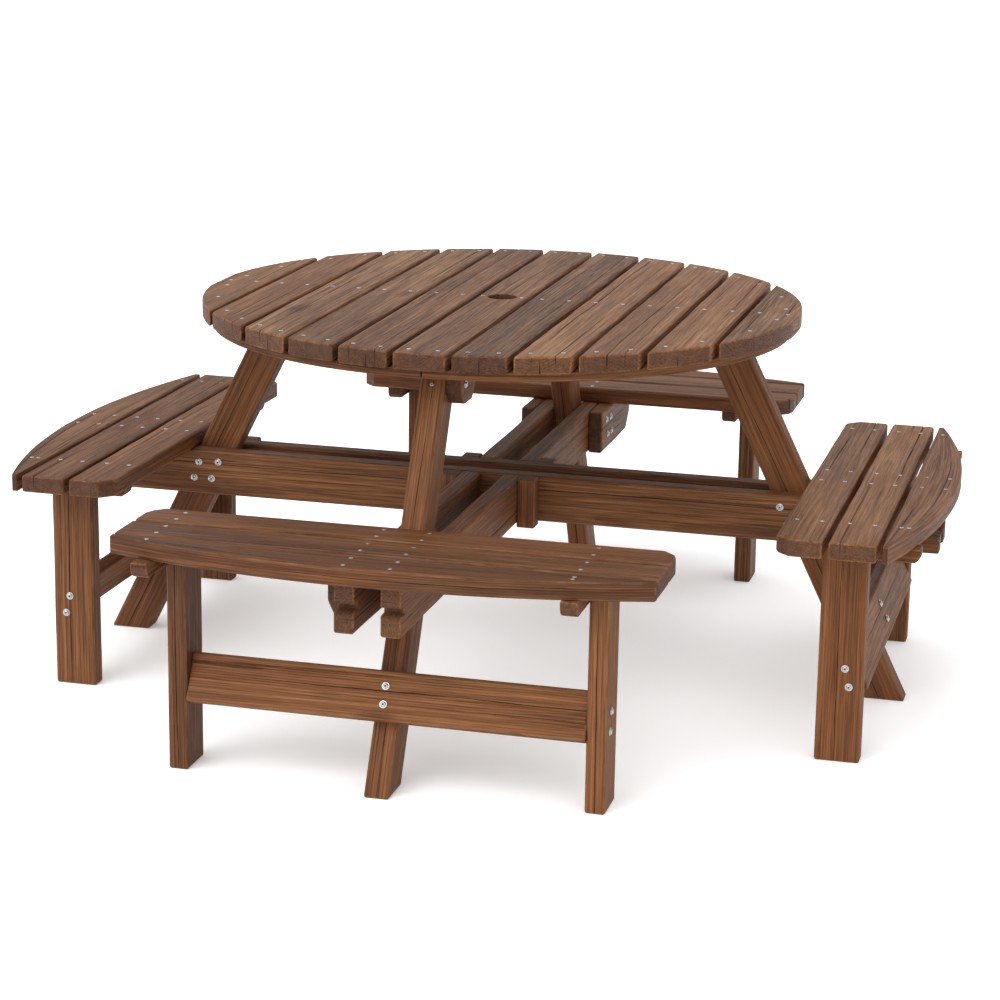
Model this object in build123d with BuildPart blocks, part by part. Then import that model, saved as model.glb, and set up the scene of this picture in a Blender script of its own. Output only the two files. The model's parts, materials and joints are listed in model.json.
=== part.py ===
from build123d import *
import os
from math import atan, cos, degrees, hypot, radians, sin, sqrt

# Round eight-seat picnic table: a slatted disc with a parasol hole stands on four sloping
# legs, and two crossed pairs of rails carry the legs and a short curved bench on each side.
# Millimetres. The origin is on the floor under the middle of the table, +Z is up,
# the slats of the top run along Y and the through rails run along X.

# ---- driving sizes -------------------------------------------------------------------
table_height = 720
top_diameter = 1130
slat_count = 11
slat_gap = 10
slat_thickness = 32
parasol_hole_diameter = 55

batten_thickness = 16
mid_batten_width = 90
rim_batten_setback = 18
rim_batten_width = 108
batten_end_gap = 1

leg_thickness = 44
leg_width = 70
leg_foot_radius = 799
leg_rail_radius = 605.5

rail_height = 88
rail_thickness = 36
rail_reach = 850
rail_notch_height = 15
rail_notch_depth = 20

bearer_thickness = 30
bearer_start = 515
bearer_reach = 790
bearer_end_slope = 36

corner_block_width = 35
corner_block_drop = 6

top_block_thickness = 30
top_block_height = 62
top_block_inner = 380
top_block_outer = 470
top_block_cut = 22

seat_height = 422
seat_thickness = 32
seat_board_count = 3
seat_gap = 10
seat_inner_radius = 606
seat_corner_radius = 800
seat_apex_radius = 874
seat_half_length = 470
seat_corner_cut = 26

bench_leg_width = 80
bench_leg_thickness = 35
bench_leg_outer_radius = 760
bench_leg_reach = 386

cleat_width = 30
cleat_height = 27
cleat_inner_radius = 625
cleat_outer_radius = 845
cleat_end_slope = 10
cleat_screw_drop = 17

stretcher_height = 88
stretcher_thickness = 30
stretcher_centre_height = 155

edge_radius = 3
fit_gap = 0.3

screw_head_radius = 3.8
screw_head_rim = 0.28
screw_shank_radius = 2
slat_screw_spacing = 52
end_slat_screw_spacing = 28
hole_screw_spacing = 76
rim_screw_inset = 30
seat_screw_spacing = 44
seat_screw_length = 44
seat_screw_margin = 16
pan_head_height = 2.2
leg_screw_drop = 24
leg_screw_length = 50

bolt_radius = 3
bolt_head_radius = 5
bolt_head_height = 2.6
washer_radius = 7
washer_thickness = 1.4
socket_radius = 1.8
socket_depth = 1.4
stretcher_bolt_bite = 40

# ---- sizes that follow ---------------------------------------------------------------
top_radius = top_diameter / 2
slat_pitch = (top_diameter + slat_gap) / slat_count
slat_width = slat_pitch - slat_gap
slat_underside = table_height - slat_thickness
batten_underside = slat_underside - batten_thickness
rim_batten_outer = top_radius - rim_batten_setback
rim_batten_inner = rim_batten_outer - rim_batten_width
rim_screw_radius = top_radius - rim_screw_inset

seat_underside = seat_height - seat_thickness
rail_top = seat_underside
rail_bottom = rail_top - rail_height
rail_middle = (rail_top + rail_bottom) / 2
rail_inner_face = leg_thickness / 2
rail_outer_face = rail_inner_face + rail_thickness

leg_lean = (leg_foot_radius - leg_rail_radius) / rail_top
leg_lean_angle = degrees(atan(leg_lean))
leg_footprint = leg_width / cos(radians(leg_lean_angle))

seat_board_width = (
    seat_apex_radius - seat_inner_radius - (seat_board_count - 1) * seat_gap
) / seat_board_count
seat_rise = seat_apex_radius - seat_corner_radius
seat_arc_radius = (seat_half_length**2 + seat_rise**2) / (2 * seat_rise)
seat_arc_centre = seat_apex_radius - seat_arc_radius

cleat_bottom = seat_underside - cleat_height
bench_leg_inner_radius = bench_leg_outer_radius - bench_leg_width
bench_leg_middle = (bench_leg_outer_radius + bench_leg_inner_radius) / 2
bench_leg_inner_reach = bench_leg_reach - bench_leg_thickness

side_angles = {"front": -90, "right": 0, "back": 90, "left": 180}
leg_block_sides = {"front": -1, "right": -1, "back": 1, "left": 1}
bearer_sides = {"front": [1], "right": [-1], "back": [-1, 1], "left": [1]}
cleat_sides = {"front": 1, "right": -1, "back": -1, "left": 1}

# bolt centres as (radius, height) pairs in the upright plane through a leg
leg_rail_bolts = [
    (leg_rail_radius - 12, rail_top - 24),
    (leg_rail_radius - 52, rail_top - 22),
    (leg_rail_radius - 2, rail_top - 56),
    (leg_rail_radius - 38, rail_top - 56),
]
leg_block_bolt = (
    leg_rail_radius - leg_lean * (batten_underside - rail_top - 26) - 30,
    batten_underside - 26,
)
cleat_screw = (bench_leg_middle - 5, seat_underside - cleat_screw_drop)
stretcher_end_bolts = [
    (leg_foot_radius - leg_lean * stretcher_centre_height + reach, stretcher_centre_height + rise)
    for reach, rise in ((14, -15), (6, 18))
]
stretcher_leg_bolt_rises = (-14, 14)


# ---- helpers -------------------------------------------------------------------------
def along(side, radius, across=0.0, height=0.0):
    """A point on a side of the table, from its distance out, sideways and up."""
    turn = radians(side_angles[side])
    return Vector(
        radius * cos(turn) + across * sin(turn),
        radius * sin(turn) - across * cos(turn),
        height,
    )


def upright(side, across=0.0):
    """The upright plane that runs out from the middle: local X is out, local Y is up."""
    return Plane(
        origin=along(side, 0, across),
        x_dir=along(side, 1),
        z_dir=along(side, 0, 1),
    )


def leg_face(radius_at_floor):
    """How far out the leg's sloping face is at a height."""
    return lambda height: radius_at_floor - leg_lean * height


leg_outer_face = leg_face(leg_foot_radius)


def on_leg_face(side, height, clear=0.0):
    """The plane of a leg's sloping outer face at a height, facing out, moved clear of it."""
    lean = radians(leg_lean_angle)
    outward = along(side, cos(lean), 0, sin(lean))
    return Plane(origin=along(side, leg_outer_face(height), 0, height) + outward * clear, z_dir=outward)


def seat_edge(across):
    """Distance out of the curved front edge of a seat."""
    return seat_arc_centre + sqrt(seat_arc_radius**2 - across**2)


def long_edges(part, share=0.55):
    """The edges that run most of a board's length."""
    longest = max(edge.length for edge in part.edges())
    return [edge for edge in part.edges() if edge.length > share * longest]


def save(piece, name):
    """Label a finished piece and write it under the same name."""
    piece.part.label = name
    export_step(piece.part, f"parts/{name}.step")


# ---- where the screws go -------------------------------------------------------------
def slat_centre(index):
    return (index - (slat_count - 1) / 2) * slat_pitch


def slat_screws(index):
    """Two screws at each end of a slat, over the rim, and two over the middle batten."""
    is_end_slat = index in (0, slat_count - 1)
    has_hole = abs(slat_centre(index)) < slat_pitch / 2
    rim_spacing = end_slat_screw_spacing if is_end_slat else slat_screw_spacing
    middle_spacing = hole_screw_spacing if has_hole else slat_screw_spacing
    points = []
    for sign in (-1, 1):
        rim_x = slat_centre(index) + sign * rim_spacing / 2
        rim_y = sqrt(rim_screw_radius**2 - rim_x**2)
        middle_x = slat_centre(index) + sign * middle_spacing / 2
        points += [(rim_x, -rim_y), (middle_x, 0), (rim_x, rim_y)]
    return points


top_screw_points = [point for index in range(slat_count) for point in slat_screws(index)]


def support_lines(side):
    """Sideways positions of the rails and cleats that carry a seat."""
    rail_line = rail_inner_face + rail_thickness / 2
    cleats = [
        sign * bench_leg_reach
        + cleat_sides[side] * cleat_width / 2
        - (sign * bench_leg_thickness if sign != cleat_sides[side] else 0)
        for sign in (-1, 1)
    ]
    return [-rail_line, rail_line] + cleats


def board_range(index):
    """Inner and outer distance of a seat board, before the front edge is rounded."""
    inner = seat_inner_radius + index * (seat_board_width + seat_gap)
    return inner, inner + seat_board_width


def board_screws(side, index):
    """Screw centres of a seat board as (distance out, sideways) pairs."""
    inner, outer = board_range(index)
    points = []
    for line in support_lines(side):
        outer_here = min(outer, seat_edge(line))
        middle = (inner + outer_here) / 2
        reach = min(seat_screw_spacing / 2, (outer_here - inner) / 2 - seat_screw_margin)
        for shift in ([-reach, reach] if reach > 6 else [0]):
            points.append((middle + shift, line))
    return points


seat_screw_points = {
    side: [point for index in range(seat_board_count) for point in board_screws(side, index)]
    for side in side_angles
}


def screws_in(side, line_from, line_to, reach_from, reach_to):
    """World XY of the seat screws that enter a support."""
    points = []
    for radius, line in seat_screw_points[side]:
        if line_from < line < line_to and reach_from < radius < reach_to:
            place = along(side, radius, line)
            points.append((place.X, place.Y, seat_underside))
    return points


screw_hole = screw_shank_radius + fit_gap
bolt_hole = bolt_radius + fit_gap
seat_screw_bite = seat_screw_length - seat_thickness + fit_gap

os.makedirs("parts", exist_ok=True)

# ---- table top -----------------------------------------------------------------------
for index in range(slat_count):
    centre_x = slat_centre(index)
    with BuildPart() as slat:
        with BuildSketch(Plane.XY.offset(slat_underside)):
            Circle(top_radius)
            with Locations((centre_x, 0)):
                Rectangle(slat_width, top_diameter, mode=Mode.INTERSECT)
        extrude(amount=slat_thickness)
        fillet(slat.edges().group_by(Axis.Z)[-1], edge_radius)
        fillet(slat.edges().group_by(Axis.Z)[0], edge_radius / 2)
        if abs(centre_x) < slat_pitch / 2:
            with Locations((0, 0, table_height)):
                Hole(parasol_hole_diameter / 2)
        with Locations(*[(x, y, table_height) for x, y in slat_screws(index)]):
            CounterSinkHole(screw_hole, screw_head_radius + fit_gap, counter_sink_angle=90)
    save(slat, f"slat_{index + 1:02d}")

with BuildPart() as mid_batten:
    with BuildSketch(Plane.XY.offset(batten_underside)):
        Rectangle(2 * rim_batten_outer, mid_batten_width)
        Circle(rim_batten_outer, mode=Mode.INTERSECT)
        Circle(parasol_hole_diameter / 2, mode=Mode.SUBTRACT)
        with Locations(*[point for point in top_screw_points if abs(point[1]) < 1]):
            Circle(screw_hole, mode=Mode.SUBTRACT)
    extrude(amount=batten_thickness)
save(mid_batten, "mid_batten")

for y_name, y_sign in (("front", -1), ("back", 1)):
    for x_name, x_sign in (("left", -1), ("right", 1)):
        edge_y = mid_batten_width / 2 + batten_end_gap
        quadrant = (
            x_sign * (batten_end_gap + top_radius),
            y_sign * (edge_y + top_radius),
        )
        with BuildPart() as rim_batten:
            with BuildSketch(Plane.XY.offset(batten_underside)):
                Circle(rim_batten_outer)
                Circle(rim_batten_inner, mode=Mode.SUBTRACT)
                with Locations(quadrant):
                    Rectangle(2 * top_radius, 2 * top_radius, mode=Mode.INTERSECT)
                with Locations(*[point for point in top_screw_points if abs(point[1]) > 1]):
                    Circle(screw_hole, mode=Mode.SUBTRACT)
            extrude(amount=batten_thickness)
        save(rim_batten, f"rim_batten_{y_name}_{x_name}")

# ---- sloping legs and the blocks at their tops ------------------------------------------
for side in side_angles:
    with BuildPart() as leg:
        with BuildSketch(upright(side, -leg_thickness / 2)):
            Polygon(
                (leg_foot_radius, 0),
                (leg_outer_face(batten_underside), batten_underside),
                (leg_outer_face(batten_underside) - leg_footprint, batten_underside),
                (leg_foot_radius - leg_footprint, 0),
                align=None,
            )
            with Locations(*leg_rail_bolts, leg_block_bolt):
                Circle(bolt_hole, mode=Mode.SUBTRACT)
        extrude(amount=leg_thickness)
        fillet(long_edges(leg.part), edge_radius)
        for rise in stretcher_leg_bolt_rises:
            with BuildSketch(on_leg_face(side, stretcher_centre_height + rise)):
                Circle(bolt_hole)
            extrude(amount=-stretcher_bolt_bite, mode=Mode.SUBTRACT)
        with BuildSketch(on_leg_face(side, batten_underside - leg_screw_drop)):
            Circle(screw_hole)
        extrude(amount=-leg_screw_length, mode=Mode.SUBTRACT)
    save(leg, f"leg_{side}")

with BuildPart() as leg_top_blocks:
    for side, sign in leg_block_sides.items():
        start = rail_inner_face if sign > 0 else -rail_inner_face - top_block_thickness
        with BuildSketch(upright(side, start)):
            Polygon(
                (top_block_inner, batten_underside),
                (top_block_outer, batten_underside),
                (top_block_outer, batten_underside - top_block_height + top_block_cut),
                (top_block_outer - top_block_cut, batten_underside - top_block_height),
                (top_block_inner + top_block_cut, batten_underside - top_block_height),
                (top_block_inner, batten_underside - top_block_height + top_block_cut),
                align=None,
            )
            with Locations(leg_block_bolt):
                Circle(bolt_hole, mode=Mode.SUBTRACT)
        extrude(amount=top_block_thickness)
save(leg_top_blocks, "leg_top_blocks")


# ---- rails ---------------------------------------------------------------------------
def rail_outline(inner_end):
    """Side view of a rail from inner_end outwards, with the notch in its outer end."""
    notch_top = rail_middle + rail_notch_height / 2
    notch_bottom = rail_middle - rail_notch_height / 2
    return [
        (inner_end, rail_bottom),
        (rail_reach, rail_bottom),
        (rail_reach, notch_bottom),
        (rail_reach - rail_notch_depth, notch_bottom),
        (rail_reach - rail_notch_depth, notch_top),
        (rail_reach, notch_top),
        (rail_reach, rail_top),
        (inner_end, rail_top),
    ]


rail_lines = {-1: (-rail_outer_face, -rail_inner_face), 1: (rail_inner_face, rail_outer_face)}

for name, sign in (("front", 1), ("back", -1)):
    near, far = rail_lines[sign]
    with BuildPart() as through_rail:
        with BuildSketch(upright("right", near)) as outline:
            Polygon(*rail_outline(0), align=None)
            with Locations(*leg_rail_bolts):
                Circle(bolt_hole, mode=Mode.SUBTRACT)
            mirror(about=Plane.YZ)
        extrude(amount=rail_thickness)
        fillet(long_edges(through_rail.part, 0.9), edge_radius)
        seats = screws_in("right", near, far, 0, rail_reach)
        seats += screws_in("left", -far, -near, 0, rail_reach)
        with Locations(*seats):
            Hole(screw_hole, seat_screw_bite)
    save(through_rail, f"rail_through_{name}")

for side in ("front", "back"):
    for sign in (-1, 1):
        near, far = rail_lines[sign]
        with BuildPart() as half_rail:
            with BuildSketch(upright(side, near)):
                Polygon(*rail_outline(rail_outer_face), align=None)
                with Locations(*leg_rail_bolts):
                    Circle(bolt_hole, mode=Mode.SUBTRACT)
            extrude(amount=rail_thickness)
            fillet(long_edges(half_rail.part, 0.9), edge_radius)
            with Locations(*screws_in(side, near, far, 0, rail_reach)):
                Hole(screw_hole, seat_screw_bite)
        end_name = "right" if along(side, 0, sign).X > 0 else "left"
        save(half_rail, f"rail_{side}_{end_name}")

with BuildPart() as corner_blocks:
    block_place = rail_outer_face + corner_block_width / 2
    with BuildSketch(Plane.XY.offset(rail_bottom - corner_block_drop)):
        with GridLocations(2 * block_place, 2 * block_place, 2, 2):
            Rectangle(corner_block_width, corner_block_width)
    extrude(amount=rail_height + corner_block_drop)
save(corner_blocks, "corner_blocks")

with BuildPart() as seat_bearers:
    for side, signs in bearer_sides.items():
        for sign in signs:
            start = rail_outer_face if sign > 0 else -rail_outer_face - bearer_thickness
            with BuildSketch(upright(side, start)):
                Polygon(
                    (bearer_start, rail_bottom),
                    (bearer_reach - bearer_end_slope, rail_bottom),
                    (bearer_reach, rail_bottom + bearer_end_slope),
                    (bearer_reach, rail_top),
                    (bearer_start, rail_top),
                    align=None,
                )
                with Locations(*leg_rail_bolts):
                    Circle(bolt_hole, mode=Mode.SUBTRACT)
            extrude(amount=bearer_thickness)
save(seat_bearers, "seat_bearers")

# ---- benches -------------------------------------------------------------------------
board_names = ["inner", "middle", "outer"]
slope_out = Vector(cos(radians(leg_lean_angle)), sin(radians(leg_lean_angle)))
slope_up = Vector(-sin(radians(leg_lean_angle)), cos(radians(leg_lean_angle)))


def stretcher_corner(outward, upward):
    """A corner of the stretcher's sloping section, as (distance out, height)."""
    start = Vector(leg_outer_face(stretcher_centre_height), stretcher_centre_height)
    spot = start + slope_out * outward + slope_up * upward
    return spot.X, spot.Y


for side in side_angles:
    for index, board_name in enumerate(board_names):
        inner, outer = board_range(index)
        flat = Plane(origin=(0, 0, seat_underside), x_dir=along(side, 1), z_dir=(0, 0, 1))
        with BuildPart() as board:
            with BuildSketch(flat):
                with Locations(((inner + outer) / 2, 0)):
                    Rectangle(outer - inner, 2 * seat_half_length)
                with Locations((seat_arc_centre, 0)):
                    Circle(seat_arc_radius, mode=Mode.INTERSECT)
            extrude(amount=seat_thickness)
            if index == 0:
                inner_edges = [
                    edge
                    for edge in board.edges().filter_by(Axis.Z)
                    if hypot(edge.center().X, edge.center().Y)
                    < hypot(inner + 1, seat_half_length + 1)
                ]
                chamfer(inner_edges, seat_corner_cut)
            fillet(board.edges().group_by(Axis.Z)[-1], edge_radius)
            places = [along(side, *point) for point in board_screws(side, index)]
            with Locations(*[(place.X, place.Y, seat_height) for place in places]):
                CounterSinkHole(screw_hole, screw_head_radius + fit_gap, counter_sink_angle=90)
        save(board, f"seat_{side}_{board_name}")

    for sign in (-1, 1):
        start = bench_leg_inner_reach if sign > 0 else -bench_leg_reach
        with BuildPart() as bench_leg:
            with BuildSketch(upright(side, start)):
                with Locations((bench_leg_middle, seat_underside / 2)):
                    Rectangle(bench_leg_width, seat_underside)
                with Locations(cleat_screw):
                    Circle(screw_hole, mode=Mode.SUBTRACT)
                with Locations(*stretcher_end_bolts):
                    Circle(bolt_hole, mode=Mode.SUBTRACT)
            extrude(amount=bench_leg_thickness)
            fillet(long_edges(bench_leg.part, 0.9), edge_radius)
        place = along(side, 0, sign)
        if side in ("front", "back"):
            end_name = "right" if place.X > 0 else "left"
        else:
            end_name = "rear" if place.Y > 0 else "near"
        save(bench_leg, f"bench_leg_{side}_{end_name}")

    with BuildPart() as stretcher:
        with BuildSketch(upright(side, -bench_leg_inner_reach)):
            Polygon(
                stretcher_corner(0, -stretcher_height / 2),
                stretcher_corner(stretcher_thickness, -stretcher_height / 2),
                stretcher_corner(stretcher_thickness, stretcher_height / 2),
                stretcher_corner(0, stretcher_height / 2),
                align=None,
            )
        extrude(amount=2 * bench_leg_inner_reach)
        fillet(long_edges(stretcher.part, 0.9), edge_radius)
        for end in (-1, 1):
            with BuildSketch(upright(side, end * bench_leg_inner_reach)):
                with Locations(*stretcher_end_bolts):
                    Circle(bolt_hole)
            extrude(amount=-end * stretcher_bolt_bite, mode=Mode.SUBTRACT)
        for rise in stretcher_leg_bolt_rises:
            with BuildSketch(on_leg_face(side, stretcher_centre_height + rise)):
                Circle(bolt_hole)
            extrude(amount=stretcher_thickness, mode=Mode.SUBTRACT)
    save(stretcher, f"stretcher_{side}")

with BuildPart() as seat_cleats:
    for side, cleat_sign in cleat_sides.items():
        for line in support_lines(side)[2:]:
            with BuildSketch(upright(side, line - cleat_width / 2)):
                Polygon(
                    (cleat_inner_radius, seat_underside),
                    (cleat_inner_radius, cleat_bottom + cleat_end_slope),
                    (cleat_inner_radius + cleat_end_slope, cleat_bottom),
                    (cleat_outer_radius - cleat_end_slope, cleat_bottom),
                    (cleat_outer_radius, cleat_bottom + cleat_end_slope),
                    (cleat_outer_radius, seat_underside),
                    align=None,
                )
                with Locations(cleat_screw):
                    Circle(screw_hole, mode=Mode.SUBTRACT)
            extrude(amount=cleat_width)
    for side in side_angles:
        for line in support_lines(side)[2:]:
            entering = screws_in(side, line - 1, line + 1, 0, cleat_outer_radius)
            with Locations(*entering):
                Hole(screw_hole, seat_screw_bite)
save(seat_cleats, "seat_cleats")


# ---- screws and bolts ------------------------------------------------------------------
def screw(length):
    """A countersunk screw hanging down from the origin, its head flush with the surface."""
    with BuildPart() as piece:
        with BuildSketch(Plane.XZ):
            Polygon(
                (0, 0),
                (screw_head_radius, 0),
                (screw_head_radius, -screw_head_rim),
                (screw_shank_radius, screw_shank_radius - screw_head_radius - screw_head_rim),
                (screw_shank_radius, -length),
                (0, -length),
                align=None,
            )
        revolve(axis=Axis.Z)
    return piece.part


def pan_screw(length):
    """A small screw at the origin with its rounded head standing on the surface."""
    with BuildPart() as piece:
        with BuildSketch(Plane.XZ):
            Polygon(
                (0, -length),
                (screw_shank_radius, -length),
                (screw_shank_radius, 0),
                (screw_head_radius, 0),
                (screw_head_radius, pan_head_height / 2),
                (screw_head_radius - pan_head_height / 2, pan_head_height),
                (0, pan_head_height),
                align=None,
            )
        revolve(axis=Axis.Z)
    return piece.part


def bolt(grip):
    """A domed bolt on a washer at the origin, its shank running a grip's length down."""
    with BuildPart() as piece:
        with BuildSketch(Plane.XZ):
            Polygon(
                (0, -grip),
                (bolt_radius, -grip),
                (bolt_radius, 0),
                (washer_radius, 0),
                (washer_radius, washer_thickness),
                (bolt_head_radius, washer_thickness),
                (bolt_head_radius * 0.8, washer_thickness + bolt_head_height * 0.7),
                (bolt_head_radius * 0.5, washer_thickness + bolt_head_height),
                (socket_radius, washer_thickness + bolt_head_height),
                (socket_radius, washer_thickness + bolt_head_height - socket_depth),
                (0, washer_thickness + bolt_head_height - socket_depth),
                align=None,
            )
        revolve(axis=Axis.Z)
    return piece.part


top_screw = screw(slat_thickness + batten_thickness - fit_gap)
with BuildPart() as slat_screw_set:
    with Locations(*[(x, y, table_height) for x, y in top_screw_points]):
        add(top_screw)
save(slat_screw_set, "slat_screws")

seat_screw = screw(seat_screw_length)
with BuildPart() as seat_screw_set:
    for side in side_angles:
        for point in seat_screw_points[side]:
            place = along(side, *point)
            with Locations((place.X, place.Y, seat_height)):
                add(seat_screw)
save(seat_screw_set, "seat_screws")


def facing(side, across_sign):
    """Direction of a bolt's head: out of the near or far face of a rail."""
    return along(side, 0, across_sign)


with BuildPart() as rail_bolts:
    for side in side_angles:
        for sign in (-1, 1):
            has_bearer = sign in bearer_sides[side]
            reach = rail_outer_face + (bearer_thickness if has_bearer else 0)
            shank = bolt(reach - fit_gap)
            for radius, height in leg_rail_bolts:
                head = Plane(
                    origin=along(side, radius, sign * reach, height),
                    z_dir=facing(side, sign),
                )
                add(head.location * shank)
save(rail_bolts, "rail_bolts")

leg_face_screw = pan_screw(leg_screw_length - fit_gap)
with BuildPart() as leg_top_bolts:
    for side, sign in leg_block_sides.items():
        face_screw_place = on_leg_face(side, batten_underside - leg_screw_drop)
        add(face_screw_place.location * leg_face_screw)
        grip = leg_thickness + top_block_thickness
        for face_sign in (-1, 1):
            plain = face_sign != sign
            reach = rail_inner_face + (0 if plain else top_block_thickness)
            head = Plane(
                origin=along(side, leg_block_bolt[0], face_sign * reach, leg_block_bolt[1]),
                z_dir=facing(side, face_sign),
            )
            add(head.location * bolt(grip / 2 - fit_gap))
save(leg_top_bolts, "leg_top_bolts")

leg_screw = pan_screw(bench_leg_thickness + cleat_width - fit_gap)
stretcher_end_bolt = bolt(bench_leg_thickness + stretcher_bolt_bite - fit_gap)
stretcher_leg_bolt = bolt(stretcher_thickness + stretcher_bolt_bite - fit_gap)
with BuildPart() as bench_bolts:
    for side in side_angles:
        for sign in (-1, 1):
            for radius, height in stretcher_end_bolts:
                head = Plane(
                    origin=along(side, radius, sign * bench_leg_reach, height),
                    z_dir=facing(side, sign),
                )
                add(head.location * stretcher_end_bolt)
            cleat_outside = sign == cleat_sides[side]
            reach = bench_leg_reach + (cleat_width if cleat_outside else 0)
            head = Plane(
                origin=along(side, cleat_screw[0], sign * reach, cleat_screw[1]),
                z_dir=facing(side, sign),
            )
            add(head.location * leg_screw)
        for rise in stretcher_leg_bolt_rises:
            head = on_leg_face(side, stretcher_centre_height + rise, stretcher_thickness)
            add(head.location * stretcher_leg_bolt)
save(bench_bolts, "bench_bolts")
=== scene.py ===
# The looks of a round eight-seat picnic table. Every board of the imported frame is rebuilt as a
# worn plank with rounded arrises, a slight bow and drying cracks cut into its mesh, and every
# screw and bolt as a turned head with a drive recess. Metres, in the frame's own axes.

import json
from math import acos, asin, atan2, cos, pi, radians, sin, sqrt
from random import Random

import bmesh
import bpy
import numpy as np
from mathutils import Matrix, Vector, noise


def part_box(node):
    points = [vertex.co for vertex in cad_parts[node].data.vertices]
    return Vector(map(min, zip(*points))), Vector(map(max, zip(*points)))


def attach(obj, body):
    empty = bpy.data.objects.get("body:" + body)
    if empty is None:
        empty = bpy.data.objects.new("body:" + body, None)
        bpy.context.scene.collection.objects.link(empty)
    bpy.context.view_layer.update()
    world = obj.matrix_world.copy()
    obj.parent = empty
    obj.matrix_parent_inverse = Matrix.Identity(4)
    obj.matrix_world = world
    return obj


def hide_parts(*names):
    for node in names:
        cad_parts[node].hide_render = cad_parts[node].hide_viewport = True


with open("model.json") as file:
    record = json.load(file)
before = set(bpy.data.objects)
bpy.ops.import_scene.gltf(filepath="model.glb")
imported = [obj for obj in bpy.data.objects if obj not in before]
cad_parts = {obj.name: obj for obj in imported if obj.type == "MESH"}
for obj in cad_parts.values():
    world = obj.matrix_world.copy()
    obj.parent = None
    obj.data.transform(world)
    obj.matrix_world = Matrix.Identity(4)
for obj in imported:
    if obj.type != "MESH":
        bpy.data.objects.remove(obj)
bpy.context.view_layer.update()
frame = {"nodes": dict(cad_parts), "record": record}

SEED = 41

# a board's mesh: the radius of its rounded arrises and the spacing of its lines
ARRIS = 0.0042
THIN_ARRIS = 0.003
BATTEN_ARRIS = 0.002
CORNER_STEPS = 3
STATION_STEP = 0.014
SAMPLE_STEP = 0.011
EDGE_SUPPORT = 0.0025
CRACK_CLEARANCE = 0.006

# what weather does to a board: it bows, ripples, and loses shares of its arrises' radius
BOW = 0.0004
RIPPLE = 0.00028
WEAR_EVERYWHERE = 0.1
WEAR_SWING = 0.3
NICK_SHARPNESS = 0.9
NICK_RARITY = 0.42
MOST_WEAR = 0.55

# drying cracks: how far they roam sideways, and the depth at which their painted shade is full black
CRACK_ROAM = 0.0036
CRACK_JITTER = 0.22
FULL_SHADE_DEPTH = 0.002
SLAT_CRACKS = (("top", "bottom", "top"), ("top", "top", "bottom"), ("top", "bottom", "top", "top"))
RAIL_CRACKS_APART = 0.018
HEART_CRACK_DEPTH = (0.002, 0.0035)
FINE_CRACK_DEPTH = (0.001, 0.002)

# the parasol hole: its softened mouth, and the half width of the square opened round it
MOUTH = 0.0018
MOUTH_STEPS = 3
HOLE_WINDOW = 0.037

# cuts that the boxes of the CAD pieces don't tell
NOTCH_HEIGHT = 0.015
NOTCH_DEPTH = 0.020
NOTCH_SLOPE = 0.0005
BEARER_CUT = 0.036
BLOCK_CUT = 0.022
CLEAT_CUT = 0.010
SEAT_CUT = 0.026

# a fastener with a larger radius than this is a bolt on a washer, and a vertex that is NEAR a
# height or an end counts as being at it
SMALLEST_WASHER = 0.006
NEAR = 0.004

X, Y, Z = Vector((1, 0, 0)), Vector((0, 1, 0)), Vector((0, 0, 1))
OUTWARD = {"front": -Y, "right": X, "back": Y, "left": -X}

random = Random(SEED)


# ---- reading the frame ---------------------------------------------------------------
def coordinates(node):
    """A CAD node's vertices as an array of points."""
    mesh = frame["nodes"][node].data
    flat = np.zeros(len(mesh.vertices) * 3, np.float32)
    mesh.vertices.foreach_get("co", flat)
    return flat.reshape(-1, 3).astype(float)


def islands(node):
    """The vertices of each separate solid of a grouped CAD node."""
    work = bmesh.new()
    work.from_mesh(frame["nodes"][node].data)
    bmesh.ops.remove_doubles(work, verts=work.verts, dist=1e-6)
    found, seen = [], set()
    for start in work.verts:
        if start in seen:
            continue
        seen.add(start)
        stack, group = [start], []
        while stack:
            vertex = stack.pop()
            group.append(vertex.co[:])
            for edge in vertex.link_edges:
                other = edge.other_vert(vertex)
                if other not in seen:
                    seen.add(other)
                    stack.append(other)
        found.append(np.array(group))
    work.free()
    return found


def basis(origin, along, across):
    """The matrix of a board's own axes: X with the grain, Y across its width, Z through it."""
    along, across = Vector(along).normalized(), Vector(across).normalized()
    through = along.cross(across)
    matrix = Matrix((along, across, through)).transposed().to_4x4()
    matrix.translation = Vector(origin)
    return matrix


# ---- boards --------------------------------------------------------------------------
class Crack:
    """A drying crack that runs with the grain down one face of a board."""

    def __init__(self, face, place, start, stop, depth, width):
        self.face = face
        self.place = place
        self.start = start
        self.stop = stop
        self.depth = depth
        self.width = width
        self.seed = random.uniform(0, 90)

    def openness(self, share):
        """How wide and deep it is at a share of the board's length, from 0 to about 1."""
        if not self.start < share < self.stop:
            return 0.0
        taper = sin(pi * (share - self.start) / (self.stop - self.start)) ** 0.45
        ripple = 0.72 + 0.45 * noise.noise(Vector((share * 14, self.seed, 0)))
        return taper * ripple

    def wander(self, along):
        """How far it has strayed from its straight line."""
        slow = noise.noise(Vector((along * 3.1, self.seed, 4)))
        quick = noise.noise(Vector((along * 17, self.seed, 9)))
        return CRACK_ROAM * (slow + CRACK_JITTER * quick)


# across a crack: how far each mesh line is from its middle, in widths, and its share of the depth
CRACK_LINES = {-2: (-0.75, 0.0), -1: (-0.32, 0.7), 0: (0.0, 1.0), 1: (0.32, 0.7), 2: (0.75, 0.0)}


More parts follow.
